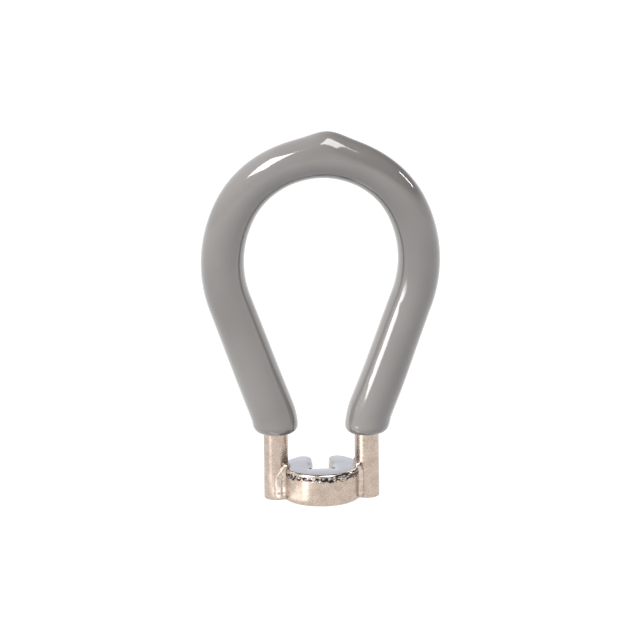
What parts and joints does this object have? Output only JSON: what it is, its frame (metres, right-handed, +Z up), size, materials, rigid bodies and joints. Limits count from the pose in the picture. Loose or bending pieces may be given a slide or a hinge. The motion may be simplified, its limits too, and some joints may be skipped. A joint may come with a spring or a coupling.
{
  "type": "spoke wrench",
  "caption": "Loop-handled spoke wrench: a bent steel rod dipped in vinyl, with a slotted round head brazed between its posts to turn the nipples of a spoked wheel.",
  "frame": {"origin": "on the nipple socket's axis, at the head's lower face", "axes": "+Z up along the two posts, +X across the loop, +Y towards the side that the slot opens on"},
  "size_m": [0.0388, 0.0158, 0.0633],
  "materials": {
    "plated_steel": "satin nickel plating",
    "plated_braze": "nickel plated over braze metal",
    "grey_vinyl": "glossy dipped vinyl"
  },
  "bodies": {
    "root": {"handle_rod": "plated_steel", "wrench_head": "plated_steel", "braze_left": "plated_braze", "braze_right": "plated_braze", "vinyl_grip": "grey_vinyl"}
  },
  "joints": []
}
